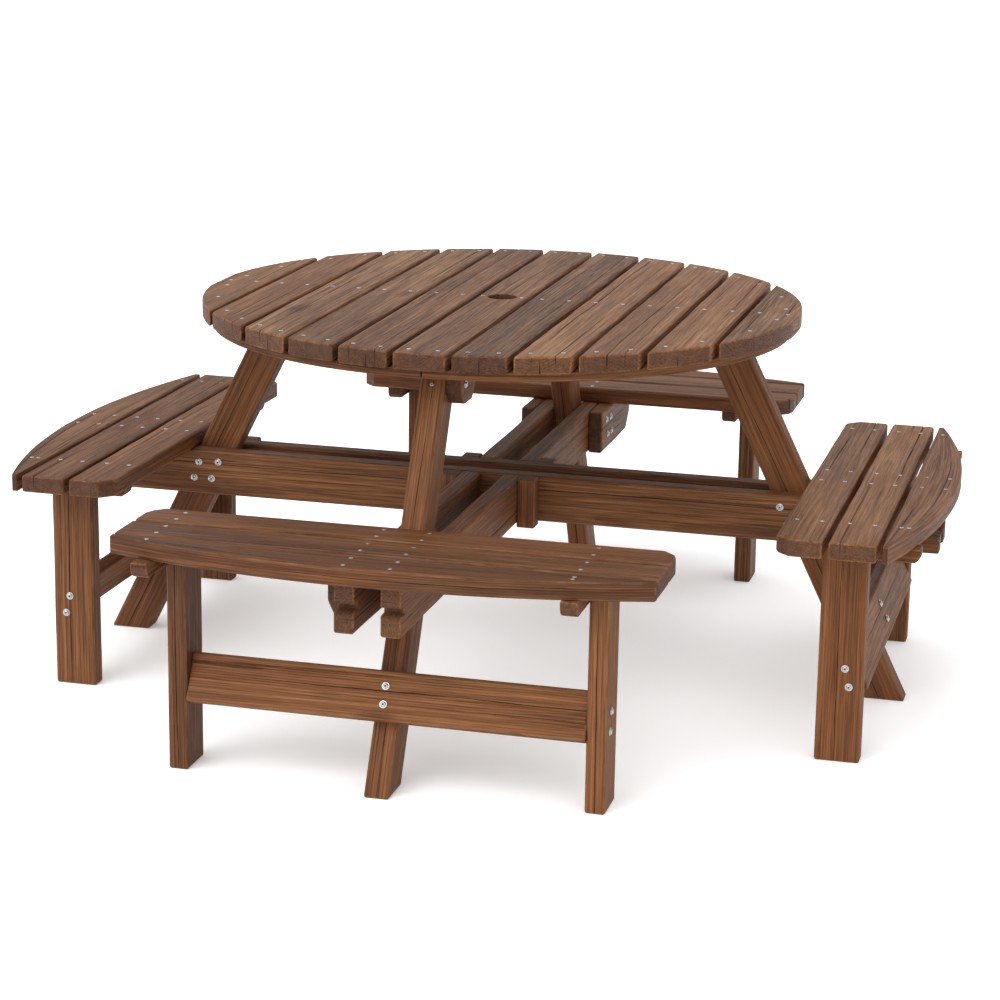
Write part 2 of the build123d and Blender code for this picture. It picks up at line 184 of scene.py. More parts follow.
def face_samples(half, cracks, lines=()):
    """Positions of the mesh lines on a flat face: near both arrises, evenly, and at cracks."""
    count = max(1, round(2 * half / SAMPLE_STEP))
    spots = [-half + 2 * half * k / count for k in range(count + 1)]
    spots = [-half, -half + EDGE_SUPPORT] + spots[1:-1] + [half - EDGE_SUPPORT, half]
    kept = [(spot, None, 0) for spot in spots
            if all(abs(spot - crack.place) > CRACK_CLEARANCE for crack in cracks)
            or abs(spot) > half - EDGE_SUPPORT * 1.5]
    kept = [item for item in kept if all(abs(item[0] - line) > EDGE_SUPPORT for line in lines)]
    kept += [(line, None, 0) for line in lines]
    for crack in cracks:
        kept += [(crack.place, crack, role) for role in CRACK_LINES]
    return sorted(kept, key=lambda item: (item[0], item[2]))


def section(half_width, half_height, radius, cracks, lines):
    """The closed ring of points round a board: (face, position, crack, role) or a corner."""
    wide = half_width - radius
    high = half_height - radius
    top_cracks = [c for c in cracks if c.face == "top"]
    bottom_cracks = [c for c in cracks if c.face == "bottom"]
    both = face_samples(wide, top_cracks + bottom_cracks, lines)
    right = face_samples(high, [c for c in cracks if c.face == "right"])
    left = face_samples(high, [c for c in cracks if c.face == "left"])
    ring = [("bottom",) + item for item in both]
    ring += corner(1, -1)
    ring += [("right",) + item for item in right]
    ring += corner(1, 1)
    ring += [("top",) + item for item in reversed(both)]
    ring += corner(-1, 1)
    ring += [("left",) + item for item in reversed(left)]
    ring += corner(-1, -1)
    return ring, len(both), len(right), len(left)


def corner(side, level):
    """The points inside one rounded arris, in ring order."""
    start = {(1, -1): -90, (1, 1): 0, (-1, 1): 90, (-1, -1): 180}[(side, level)]
    return [("corner", (side, level), radians(start + 90 * k / CORNER_STEPS), None)
            for k in range(1, CORNER_STEPS)]


def arris_point(side, level, angle, half_width, half_height, radius, reach):
    """A point of one rounded arris, at an angle round its centre."""
    across = side * (half_width - radius) + reach * cos(angle)
    through = level * (half_height - radius) + reach * sin(angle)
    return across, through


def face_point(item, half_width, half_height, inset, along, share):
    """Where a line of a flat face lies across and through the board, and its depth in a crack."""
    face, place, crack, role = item
    depth = 0.0
    if crack is not None:
        openness = crack.openness(share)
        offset, deep = CRACK_LINES[role]
        place = place + crack.wander(along)
        place += offset * crack.width * (0.35 + 0.65 * openness)
        if crack.face == face:
            depth = deep * crack.depth * openness
    sunk = inset + depth
    return {
        "top": (place, half_height - sunk),
        "bottom": (place, sunk - half_height),
        "right": (half_width - sunk, place),
        "left": (sunk - half_width, place),
    }[face] + (depth,)


def edge_wear(along, seed, side, level):
    """The share of an arris's radius that is worn off at a place along the board."""
    bite = noise.noise(Vector((along * 9, seed + side * 3, level * 5)))
    nick = noise.noise(Vector((along * 45, seed + side * 7, level * 2)))
    wear = max(0.0, bite * WEAR_SWING + WEAR_EVERYWHERE)
    wear += max(0.0, nick - NICK_RARITY) * NICK_SHARPNESS
    return min(wear, MOST_WEAR)


def board_stations(length, arris):
    """Cross-sections along a board as (share of its length, distance in from its end, inset)."""
    turns = [radians(90 * k / CORNER_STEPS) for k in range(CORNER_STEPS + 1)]
    rounding = [(arris * (1 - cos(turn)), arris * (1 - sin(turn))) for turn in turns]
    inner = max(2, round(abs(length) / STATION_STEP))
    return ([(0.0, step, inset) for step, inset in rounding]
            + [(k / inner, 0.0, 0.0) for k in range(1, inner)]
            + [(1.0, step, inset) for step, inset in reversed(rounding)])


def distance_along(low, high, share, step, arris):
    """How far along the board a station lies, between its two ends."""
    if share == 0.0:
        return low + step
    if share == 1.0:
        return high - step
    return low + arris + (high - low - 2 * arris) * share


def board(name, place, width, thickness, start, stop, cracks=(), warp=None, arris=ARRIS, bow=BOW,
          lines=()):
    """A plank along X of place, its two ends given as functions of the distance across.

    warp bends the finished plank, and lines adds mesh lines down its two wide faces.
    """
    half_width, half_height = width / 2, thickness / 2
    ring, *counts = section(half_width, half_height, arris, cracks, lines)
    length = stop(0.0) - start(0.0)
    seed = random.uniform(0, 100)
    drift = Vector((random.uniform(-40, 40), random.uniform(-0.05, 0.05),
                    random.choice((-1, 1)) * random.uniform(0.012, 0.07)))
    points, grain, crack_shade, edge, cut = [], [], [], [], []
    stations = board_stations(length, arris)
    for share, step, inset in stations:
        for item in ring:
            is_corner = item[0] == "corner"
            if is_corner:
                shape = (*item[1], item[2], half_width, half_height, arris)
                across, through = arris_point(*shape, arris - inset)
                depth = 0.0
            else:
                across, through, depth = face_point(
                    item, half_width, half_height, inset, share * length, share)
            along = distance_along(start(across), stop(across), share, step, arris)
            if is_corner:
                left = 1 - edge_wear(along, seed, *item[1])
                across, through = arris_point(*shape, (arris - inset) * left)
            ripple = noise.noise(Vector((along * 5, across * 60, through * 60 + seed)))
            sag = bow * noise.noise(Vector((along * 1.1, seed, 0)))
            spot = Vector((along, across + sag, through + RIPPLE * ripple + sag))
            grain.append(spot + drift)
            points.append(place @ (warp(spot) if warp else spot))
            # how deep the point lies in a crack, for the painted shade that the material puts there
            crack_shade.append(min(1.0, depth / FULL_SHADE_DEPTH))
            edge.append(1.0 if is_corner or inset > 0 else 0.0)
            cut.append(1.0 if inset > arris * 0.6 else 0.0)
    size = len(ring)
    faces = []
    for row in range(len(stations) - 1):
        for k in range(size):
            other = (k + 1) % size
            faces.append((row * size + k, row * size + other,
                          (row + 1) * size + other, (row + 1) * size + k))
    faces += end_cap(0, *counts)
    faces += end_cap((len(stations) - 1) * size, *counts)
    mesh = bpy.data.meshes.new(name)
    mesh.from_pydata(points, [], faces)
    store(mesh, "grain", "FLOAT_VECTOR", grain)
    store(mesh, "crack", "FLOAT", crack_shade)
    store(mesh, "edge", "FLOAT", edge)
    store(mesh, "cut", "FLOAT", cut)
    clean(mesh)
    return mesh


def end_cap(first, wide_count, right_count, left_count):
    """Faces that close one end: strips from the bottom line of points to the top one."""
    corner_points = CORNER_STEPS - 1
    right_start = wide_count + corner_points
    top_start = right_start + right_count + corner_points
    left_start = top_start + wide_count + corner_points
    bottom = [first + k for k in range(wide_count)]
    top = [first + top_start + wide_count - 1 - k for k in range(wide_count)]
    right = [first + k for k in range(wide_count, top_start)]
    left = [first + k for k in range(top_start + wide_count, left_start + left_count + corner_points)]
    faces = [(bottom[k], bottom[k + 1], top[k + 1], top[k]) for k in range(1, wide_count - 2)]
    faces.append(tuple([bottom[-2], bottom[-1]] + right + [top[-1], top[-2]]))
    faces.append(tuple([top[1], top[0]] + left + [bottom[0], bottom[1]]))
    return faces


def store(mesh, name, kind, values):
    """Keep one value per vertex as a named attribute that the materials read."""
    layer = mesh.attributes.new(name, kind, "POINT")
    key = "vector" if kind == "FLOAT_VECTOR" else "value"
    layer.data.foreach_set(key, np.array(values, np.float32).ravel())


def clean(mesh):
    """Weld what collapsed at the ends and turn every face outwards."""
    work = bmesh.new()
    work.from_mesh(mesh)
    bmesh.ops.remove_doubles(work, verts=work.verts, dist=2e-6)
    bmesh.ops.dissolve_degenerate(work, edges=work.edges, dist=1e-6)
    bmesh.ops.recalc_face_normals(work, faces=work.faces)
    for face in work.faces:
        face.smooth = True
    work.to_mesh(mesh)
    work.free()


def join(meshes, name):
    """One mesh out of several, with their attributes kept."""
    work = bmesh.new()
    for mesh in meshes:
        work.from_mesh(mesh)
    joined = bpy.data.meshes.new(name)
    work.to_mesh(joined)
    work.free()
    return joined


def show(mesh, node, material):
    """Put a finished mesh in the scene in place of a CAD node."""
    piece = bpy.data.objects.new("worn_" + node, mesh)
    bpy.context.scene.collection.objects.link(piece)
    mesh.materials.clear()
    mesh.materials.append(material)
    tone = random.uniform(-1, 1)
    warmth = random.uniform(-1, 1)
    store(mesh, "tint", "FLOAT_VECTOR", [(tone, warmth, random.random())] * len(mesh.vertices))
    weighted = piece.modifiers.new("flat faces stay flat", "WEIGHTED_NORMAL")
    weighted.keep_sharp = True
    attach(piece, "root")
    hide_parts(node)
    return piece


def constant(value):
    """A board's end that is cut square."""
    return lambda across: value


def random_cracks(faces, half, depth=(0.002, 0.005), width=(0.0011, 0.0026), spread=0.36):
    """One crack for each face named, side by side, each over its own part of the length."""
    made = []
    for k, face in enumerate(faces):
        slot = -spread + 2 * spread * (k + 0.5) / len(faces) + random.uniform(-0.03, 0.03)
        middle, reach = random.uniform(0, 1), random.uniform(0.15, 0.6)
        made.append(Crack(face, slot * half * 2, middle - reach, middle + reach,
                          random.uniform(*depth), random.uniform(*width)))
    return made


def heart_cracks(faces, depth=HEART_CRACK_DEPTH, width=(0.0011, 0.0019), apart=0.007):
    """The long crack down each face of a squared post or rail, opposite ones out of line."""
    offset = {"top": apart, "bottom": -apart, "right": 0.0, "left": 0.0}
    return [Crack(face, offset[face], random.uniform(-0.3, 0.12), random.uniform(0.88, 1.3),
                  random.uniform(*depth), random.uniform(*width))
            for face in faces]


def faces_within(work, window):
    """The faces that lie wholly inside a square round the table's axis."""
    return [face for face in work.faces
            if all(abs(v.co.x) < window and abs(v.co.y) < window for v in face.verts)]


def pierce(mesh, place, radius, window):
    """Open a round hole with a softened mouth straight down through a board's mesh."""
    work = bmesh.new()
    work.from_mesh(mesh)
    middle = place.translation.z
    lid = faces_within(work, window)
    edges = {edge for face in lid for edge in face.edges}
    border = [edge for edge in edges if sum(face in lid for face in edge.link_faces) == 1]
    bmesh.ops.subdivide_edges(work, edges=border, cuts=1)
    bmesh.ops.delete(work, geom=faces_within(work, window), context="FACES")
    grain, cut = work.verts.layers.float_vector["grain"], work.verts.layers.float["cut"]
    inverse = place.inverted()
    open_verts = {v for edge in work.edges if edge.is_boundary for v in edge.verts}
    mouths = []
    for level in (1, -1):
        loop = sorted((v for v in open_verts if (v.co.z - middle) * level > 0),
                      key=lambda v: atan2(v.co.y, v.co.x))
        surface = max((v.co.z - middle) * level for v in loop)
        drift = loop[0][grain] - inverse @ loop[0].co
        for step in range(MOUTH_STEPS + 1):
            swing = pi / 2 * step / MOUTH_STEPS
            out, down = radius + MOUTH * (1 - sin(swing)), MOUTH * (1 - cos(swing))
            ring = []
            for v in loop:
                angle = atan2(v.co.y, v.co.x)
                spot = Vector((out * cos(angle), out * sin(angle), middle + level * (surface - down)))
                made = work.verts.new(spot)
                made[grain] = inverse @ spot + drift
                made[cut] = step / MOUTH_STEPS
                ring.append(made)
            close(work, loop, ring)
            loop = ring
        mouths.append(loop)
    close(work, *mouths)
    bmesh.ops.recalc_face_normals(work, faces=work.faces)
    for face in work.faces:
        face.smooth = True
    work.to_mesh(mesh)
    work.free()
    return mesh


def close(work, loop, ring):
    """A band of faces between two loops of equal length."""
    for k in range(len(loop)):
        other = (k + 1) % len(loop)
        work.faces.new((loop[k], loop[other], ring[other], ring[k]))


# ---- turned metal --------------------------------------------------------------------
def turned(name, profile, place, segments, lobes=0, lobed=()):
    """A closed turned mesh about Z; points in lobed have a radius that swings round the axis."""
    points, rows, recess = [], [], []
    for index, (radius, height) in enumerate(profile):
        deep = 1.0 if lobed and index > lobed[0] else 0.0
        recess += [deep] * (segments if radius else 1)
        if radius == 0:
            rows.append([len(points)])
            points.append(place @ Vector((0, 0, height)))
            continue
        row = []
        for k in range(segments):
            angle = 2 * pi * k / segments
            swing = 1 + (0.3 * cos(lobes * angle) if index in lobed else 0)
            row.append(len(points))
            reach = radius * swing
            points.append(place @ Vector((reach * cos(angle), reach * sin(angle), height)))
        rows.append(row)
    faces = []
    for low, high in zip(rows, rows[1:]):
        for k in range(segments):
            other = (k + 1) % segments
            if len(low) == 1:
                faces.append((low[0], high[other], high[k]))
            elif len(high) == 1:
                faces.append((low[k], low[other], high[0]))
            else:
                faces.append((low[k], low[other], high[other], high[k]))
    mesh = bpy.data.meshes.new(name)
    mesh.from_pydata(points, [], faces)
    # the points deep in the drive, which the zinc material paints with shade
    store(mesh, "recess", "FLOAT", recess)
    clean(mesh)
    return mesh


def fastener_places(node):
    """Where each screw or bolt of a grouped node sits: head top, direction, head radius."""
    found = []
    for cloud in islands(node):
        middle = cloud.mean(0)
        axis = np.linalg.svd(cloud - middle)[2][0]
        along = (cloud - middle) @ axis
        away = np.linalg.norm(cloud - middle - np.outer(along, axis), axis=1)
        if along[away.argmax()] < along.mean():
            axis, along = -axis, -along
        found.append((Vector(middle + axis * along.max()), Vector(axis), float(away.max())))
    return found


def head_place(top, axis):
    """A frame with +Z out of the head, turned at random so that no two drives line up."""
    turn = Matrix.Rotation(random.uniform(0, pi), 4, "Z")
    return Matrix.Translation(top) @ axis.to_track_quat("Z", "Y").to_matrix().to_4x4() @ turn


def countersunk(place):
    """A flush screw: a dished head with a four-lobed drive."""
    profile = [(0, -0.006), (0.0019, -0.006), (0.0020, -0.0020), (0.0038, -0.0003),
               (0.0037, 0.0002), (0.0031, 0.0003), (0.0016, 0.0002), (0.0011, -0.0011), (0, -0.0014)]
    return turned("screw", profile, place, 24, 4, (6, 7))


def pan_head(place):
    """A small round-headed screw standing on the wood."""
    profile = [(0, -0.006), (0.0022, -0.006), (0.0022, -0.0023), (0.0038, -0.0022), (0.0038, -0.0011),
               (0.0031, -0.0002), (0.0016, 0.0), (0.0011, -0.0012), (0, -0.0014)]
    return turned("pan_head", profile, place, 24, 4, (6, 7))


def bolt_head(place):
    """A washer and a domed head with a six-lobed socket."""
    washer = turned("washer", [
        (0, -0.0043), (0.0067, -0.0043), (0.0070, -0.0039), (0.0070, -0.0031),
        (0.0066, -0.0027), (0.0050, -0.0026), (0, -0.0026)], place, 40)
    dome = turned("dome", [
        (0, -0.0028), (0.0048, -0.0028), (0.0050, -0.0023), (0.0048, -0.0016), (0.0043, -0.0008),
        (0.0035, -0.0002), (0.0026, 0.0), (0.0021, -0.0001), (0.0018, -0.0005), (0.0017, -0.0014),
        (0, -0.0016)], place, 40, 6, (7, 8, 9))
    return join([washer, dome], "bolt")


# ---- materials -----------------------------------------------------------------------
def add_node(tree, kind, inputs=None, **settings):
    """A shader node with its settings, and its inputs linked or set."""
    made = tree.nodes.new(kind)
    for key, value in settings.items():
        setattr(made, key, value)
    for key, value in (inputs or {}).items():
        if isinstance(value, bpy.types.NodeSocket):
            tree.links.new(value, made.inputs[key])
        else:
            made.inputs[key].default_value = value
    return made


def maths(tree, operation, first, second=0.0, third=0.0):
    """One step of arithmetic; MULTIPLY_ADD gives first * second + third."""
    return add_node(tree, "ShaderNodeMath", {0: first, 1: second, 2: third},
                    operation=operation).outputs[0]


def mixed(tree, factor, first, second):
    """The first colour where factor is 0, the second where it is 1."""
    return add_node(tree, "ShaderNodeMix", {0: factor, 6: first, 7: second},
                    data_type="RGBA").outputs[2]


def attribute(tree, name, output="Fac"):
    """One of the values that the mesh code stored on the vertices."""
    return add_node(tree, "ShaderNodeAttribute", attribute_name=name).outputs[output]


def stretched(tree, vector, scale):
    """Coordinates multiplied by a scale for each axis."""
    return add_node(tree, "ShaderNodeVectorMath", {0: vector, 1: scale},
                    operation="MULTIPLY").outputs[0]


def noise_on(tree, vector, scale, detail=3.0, roughness=0.55):
    """Noise over grain coordinates that are stretched to run with the board."""
    return add_node(tree, "ShaderNodeTexNoise", {
        "Vector": stretched(tree, vector, scale), "Scale": 1.0,
        "Detail": detail, "Roughness": roughness}).outputs[0]


def remap(tree, value, low, high, out_low=0.0, out_high=1.0):
    """A smooth step from out_low to out_high as the value goes from low to high."""
    return add_node(tree, "ShaderNodeMapRange", {
        "Value": value, "From Min": low, "From Max": high,
        "To Min": out_low, "To Max": out_high}, interpolation_type="SMOOTHSTEP").outputs[0]


def ramp(tree, value, stops):
    """A colour ramp from a list of (position, colour)."""
    made = add_node(tree, "ShaderNodeValToRGB", {0: value})
    elements = made.color_ramp.elements
    while len(elements) < len(stops):
        elements.new(0.5)
    for element, (position, colour) in zip(elements, stops):
        element.position = position
        element.color = (*colour, 1.0)
    return made.outputs[0]


# the stain's colours from dark late wood to pale early wood, under cover and in the open
SHELTERED = [(0, (0.036, 0.012, 0.00351)), (0.3, (0.09, 0.0317, 0.0092)),
             (0.58, (0.148, 0.0558, 0.0175)), (0.82, (0.205, 0.0843, 0.0289)),
             (1, (0.266, 0.124, 0.048))]
WEATHERED = [(0, (0.0368, 0.0135, 0.00448)), (0.3, (0.0846, 0.0353, 0.0131)),
             (0.55, (0.131, 0.0617, 0.0256)), (0.8, (0.179, 0.0902, 0.0396)),
             (1, (0.248, 0.135, 0.0627))]


STAINED_STREAK = (0.030, 0.013, 0.006, 1)
GRIME = (0.046, 0.026, 0.014, 1)
RED_STAIN = (0.30, 0.095, 0.02, 1)
BARE_ARRIS = (0.26, 0.14, 0.08, 1)
WET_END = (0.04, 0.016, 0.008, 1)
# painted shade for the bottoms of cracks
PAINTED_CRACK_SHADE = (0.012, 0.006, 0.003, 1)
# painted shade for the insides of drive sockets
PAINTED_SOCKET_SHADE = (0.03, 0.025, 0.02, 1)
ZINC_SHADES = [(0.0, (0.24, 0.245, 0.25)), (0.5, (0.46, 0.465, 0.47)), (1.0, (0.70, 0.70, 0.695))]


def wood(name, weathering, tone=0.0):
    """Stained softwood: growth rings, fibres, stain streaks, cracks painted dark as shade, worn
    arrises.
    """
    material = bpy.data.materials.new(name)
    material.use_nodes = True
    tree = material.node_tree
    shader = tree.nodes["Principled BSDF"]
    grain = attribute(tree, "grain", "Vector")
    tint = add_node(tree, "ShaderNodeSeparateXYZ", {0: attribute(tree, "tint", "Vector")}).outputs
    axes = add_node(tree, "ShaderNodeSeparateXYZ", {0: grain}).outputs

    sway = noise_on(tree, grain, (1.6, 9.0, 9.0), 2.0)
    flat = add_node(tree, "ShaderNodeCombineXYZ", {0: 0.0, 1: axes[1], 2: axes[2]}).outputs[0]
    reach = add_node(tree, "ShaderNodeVectorMath", {0: flat}, operation="LENGTH").outputs["Value"]
    rings = maths(tree, "MULTIPLY_ADD", sway, 5.0, maths(tree, "MULTIPLY", reach, 210.0))
    ring = maths(tree, "FRACT", rings)
    late_wood = maths(tree, "MULTIPLY", remap(tree, ring, 0.35, 0.86), remap(tree, ring, 1.0, 0.9))

    fibre = noise_on(tree, grain, (16.0, 620.0, 620.0), 4.0, 0.62)
    streak = noise_on(tree, grain, (2.4, 150.0, 150.0), 4.0, 0.6)
    broad = noise_on(tree, grain, (1.5, 9.0, 9.0), 3.0)
    blotch = noise_on(tree, grain, (9.0, 30.0, 30.0), 3.0)

    knots = add_node(tree, "ShaderNodeTexVoronoi", {
        "Vector": stretched(tree, grain, (3.4, 8.5, 8.5)), "Scale": 1.0, "Randomness": 1.0})
    chance = add_node(tree, "ShaderNodeSeparateColor", {0: knots.outputs["Color"]}).outputs[0]
    knot = maths(tree, "MULTIPLY", remap(tree, knots.outputs["Distance"], 0.2, 0.05),
                 remap(tree, chance, 0.80, 0.82))

    thread = noise_on(tree, grain, (3.2, 330.0, 330.0), 3.0, 0.65)
    shade = maths(tree, "MULTIPLY_ADD", remap(tree, fibre, 0.28, 0.72), 0.26, tone - 0.03)
    shade = maths(tree, "MULTIPLY_ADD", remap(tree, thread, 0.38, 0.62), 0.26, shade)
    shade = maths(tree, "MULTIPLY_ADD", remap(tree, streak, 0.32, 0.68), 0.24, shade)
    shade = maths(tree, "MULTIPLY_ADD", remap(tree, broad, 0.3, 0.7), 0.3, shade)
    shade = maths(tree, "MULTIPLY_ADD", late_wood, -0.16, shade)
    shade = maths(tree, "MULTIPLY_ADD", tint[0], 0.085, shade)
    shade = maths(tree, "MULTIPLY_ADD", knot, -0.35, shade)
    shade = maths(tree, "MULTIPLY_ADD", shade, 1.0 + 0.3 * weathering, -0.14 * weathering)

    sheltered = ramp(tree, shade, SHELTERED)
    weathered = ramp(tree, shade, WEATHERED)
    upward = add_node(tree, "ShaderNodeSeparateXYZ", {
        0: add_node(tree, "ShaderNodeNewGeometry").outputs["Normal"]}).outputs[2]
    exposed = maths(tree, "MULTIPLY", remap(tree, upward, 0.55, 0.95),
                    remap(tree, blotch, 0.2, 0.55, weathering * 0.75, weathering))
    colour = mixed(tree, exposed, sheltered, weathered)

    stain = remap(tree, noise_on(tree, grain, (2.6, 210.0, 210.0), 5.0, 0.7), 0.57, 0.67)
    colour = mixed(tree, maths(tree, "MULTIPLY", stain, 0.74), colour, STAINED_STREAK)
    grime_and_socket_shade = remap(tree, noise_on(tree, grain, (4.0, 26.0, 26.0), 4.0, 0.6), 0.50, 0.68)
    colour = mixed(tree, maths(tree, "MULTIPLY", grime_and_socket_shade, 0.2 + 0.34 * weathering), colour,
                   GRIME)
    warm = maths(tree, "MULTIPLY_ADD", tint[1], 0.5, 0.5)
    colour = mixed(tree, maths(tree, "MULTIPLY", warm, 0.16), colour, RED_STAIN)

    worn = maths(tree, "MULTIPLY", attribute(tree, "edge"),
                 remap(tree, noise_on(tree, grain, (22.0, 60.0, 60.0)), 0.42, 0.62, 0.1, 0.75))
    colour = mixed(tree, maths(tree, "MULTIPLY", worn, 0.3), colour, BARE_ARRIS)
    end = maths(tree, "MULTIPLY", attribute(tree, "cut"), 0.6)
    colour = mixed(tree, end, colour, WET_END)
    # painted shade: cracks are painted darker the deeper they are, near black at the bottom
    dark = remap(tree, attribute(tree, "crack"), 0.02, 0.5)
    colour = mixed(tree, dark, colour, PAINTED_CRACK_SHADE)

    rough = remap(tree, fibre, 0.2, 0.8, 0.72, 0.50)
    height = maths(tree, "MULTIPLY_ADD", fibre, 0.5, maths(tree, "MULTIPLY", streak, 0.6))
    height = maths(tree, "MULTIPLY_ADD", thread, 0.5, height)
    height = maths(tree, "MULTIPLY_ADD", late_wood, 0.22, height)
    height = maths(tree, "MULTIPLY_ADD", stain, -0.5, height)
    relief = add_node(tree, "ShaderNodeBump", {"Height": height, "Strength": 0.9, "Distance": 0.0016})

    tree.links.new(colour, shader.inputs["Base Color"])
    tree.links.new(rough, shader.inputs["Roughness"])
    tree.links.new(relief.outputs[0], shader.inputs["Normal"])
    shader.inputs["Specular IOR Level"].default_value = 0.22
    return material


def zinc():
    """Bright zinc plate with a faint spangle, dull in places, with painted shade inside its sockets.
    """
    material = bpy.data.materials.new("zinc_plate")
    material.use_nodes = True
    tree = material.node_tree
    shader = tree.nodes["Principled BSDF"]
    place = add_node(tree, "ShaderNodeTexCoord").outputs["Object"]
    spangle = add_node(tree, "ShaderNodeTexVoronoi", {"Vector": place, "Scale": 900.0})
    shift = add_node(tree, "ShaderNodeSeparateColor", {0: spangle.outputs["Color"]}).outputs[0]
    film = add_node(tree, "ShaderNodeTexNoise", {
        "Vector": place, "Scale": 240.0, "Detail": 3.0}).outputs[0]
    cloud = maths(tree, "MULTIPLY_ADD", shift, 0.35, maths(tree, "MULTIPLY", film, 0.65))
    base = ramp(tree, cloud, ZINC_SHADES)
    # painted shade inside the drive sockets: darker and less metallic deep in the recess
    grime_and_socket_shade = attribute(tree, "recess")
    base = mixed(tree, maths(tree, "MULTIPLY", grime_and_socket_shade, 0.93), base, PAINTED_SOCKET_SHADE)
    tree.links.new(base, shader.inputs["Base Color"])
    tree.links.new(maths(tree, "MULTIPLY_ADD", grime_and_socket_shade, -0.8, 1.0), shader.inputs["Metallic"])
    tree.links.new(remap(tree, film, 0.3, 0.7, 0.22, 0.42), shader.inputs["Roughness"])
    relief = add_node(tree, "ShaderNodeBump", {"Height": film, "Strength": 0.25, "Distance": 0.0003})
    tree.links.new(relief.outputs[0], shader.inputs["Normal"])
    return material


# how far the weather has bleached the faces that look up, from 0 to 1, and how much darker
# than usual the stain is
TOP_WOOD = wood("weathered_top_wood", 1.0)
SEAT_WOOD = {"front": wood("front_seat_wood", 0.3, -0.17), "right": wood("right_seat_wood", 0.95),
             "back": wood("back_seat_wood", 0.8, -0.04), "left": wood("left_seat_wood", 0.7, -0.14)}
FRAME_WOOD = wood("sheltered_frame_wood", 0.25)
ZINC = zinc()


# ---- table top -----------------------------------------------------------------------
centre_low, centre_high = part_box("slat_06")
top_radius = centre_high.y
hole_radius = frame["record"]["mounts"][0]["dims"]["r_mm"] / 1000
for node in sorted(n for n in frame["nodes"] if n.startswith("slat_") and n != "slat_screws"):
    low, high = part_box(node)
    middle = (low + high) / 2
    middle.y = 0

    def slat_reach(across, centre=middle.x):
        return sqrt(max(1e-6, top_radius**2 - (centre - across) ** 2))

    width = high.x - low.x
    cracks = random_cracks(random.choice(SLAT_CRACKS), width / 2)
    spot = basis(middle, Y, -X)
    mesh = board(node, spot, width, high.z - low.z,
                 lambda across: -slat_reach(across), slat_reach, cracks)
    if node == "slat_06":
        mesh = pierce(mesh, spot, hole_radius, HOLE_WINDOW)
    show(mesh, node, TOP_WOOD)

low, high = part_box("mid_batten")
spot = basis((low + high) / 2, X, Y)
mesh = board("mid_batten", spot, high.y - low.y, high.z - low.z,
             lambda across: -sqrt(high.x**2 - across**2),
             lambda across: sqrt(high.x**2 - across**2),
             heart_cracks(["bottom"]), arris=BATTEN_ARRIS, bow=0)
mesh = pierce(mesh, spot, hole_radius, HOLE_WINDOW)
show(mesh, "mid_batten", FRAME_WOOD)

for node in sorted(n for n in frame["nodes"] if n.startswith("rim_batten")):
    low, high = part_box(node)
    cloud = coordinates(node)
    radii = np.hypot(cloud[:, 0], cloud[:, 1])
    middle_radius = (radii.min() + radii.max()) / 2
    gap = np.abs(cloud[:, 0]).min()
    ledge = np.abs(cloud[:, 1]).min()
    x_side = 1 if high.x > -low.x else -1
    y_side = 1 if high.y > -low.y else -1

    def curl(spot):
        angle = spot.x / middle_radius
        radius = middle_radius + spot.y
        return Vector((x_side * radius * cos(angle), y_side * radius * sin(angle), spot.z))

    mesh = board(node, Matrix.Translation((0, 0, (low.z + high.z) / 2)),
                 radii.max() - radii.min(), high.z - low.z,
                 lambda across: middle_radius * asin(ledge / (middle_radius + across)),
                 lambda across: middle_radius * acos(gap / (middle_radius + across)),
                 warp=curl, arris=BATTEN_ARRIS, bow=0)
    show(mesh, node, FRAME_WOOD)


# ---- legs, rails and blocks ----------------------------------------------------------
def radial_span(node, outward, height):
    """The least and greatest distance out of a node's vertices near a height."""
    cloud = coordinates(node)
    level = cloud[np.abs(cloud[:, 2] - height) < NEAR]
    distance = level @ np.array(outward)
    return distance.min(), distance.max()


def towards(middle):
    """The side of the table that a piece lies on."""
    if abs(middle.x) > abs(middle.y):
        return X if middle.x > 0 else -X
    return Y if middle.y > 0 else -Y


for side, outward in OUTWARD.items():
    node = "leg_" + side
    low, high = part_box(node)
    foot_in, foot_out = radial_span(node, outward, low.z)
    head_in, head_out = radial_span(node, outward, high.z)
    foot = outward * (foot_in + foot_out) / 2
    head = outward * (head_in + head_out) / 2 + Z * high.z
    along = (head - foot).normalized()
    across = (outward - along * outward.dot(along)).normalized()
    thickness = min(high.x - low.x, high.y - low.y)
    rise = across.z / along.z
    top = high.z / along.z
    mesh = board(node, basis(foot, along, across), (foot_out - foot_in) * along.z, thickness,
                 lambda b: -b * rise, lambda b: top - b * rise,
                 heart_cracks(["top", "bottom", "right", "left"]))
    show(mesh, node, FRAME_WOOD)
leg_slope = rise


def box_of(cloud):
    """The low and high corner of a set of points."""
    return Vector(cloud.min(0)), Vector(cloud.max(0))


def grouped(node, build):
    """Rebuild each solid of a grouped node with build(low, high) and show them as one piece."""
    pieces = [build(*box_of(cloud)) for cloud in islands(node)]
    show(join(pieces, node), node, FRAME_WOOD)


def extents(low, high, outward):
    """Length along a direction, and thickness across it, of an upright board's box."""
    size = high - low
    length = abs(size.dot(outward))
    return length, (size.x + size.y) - length


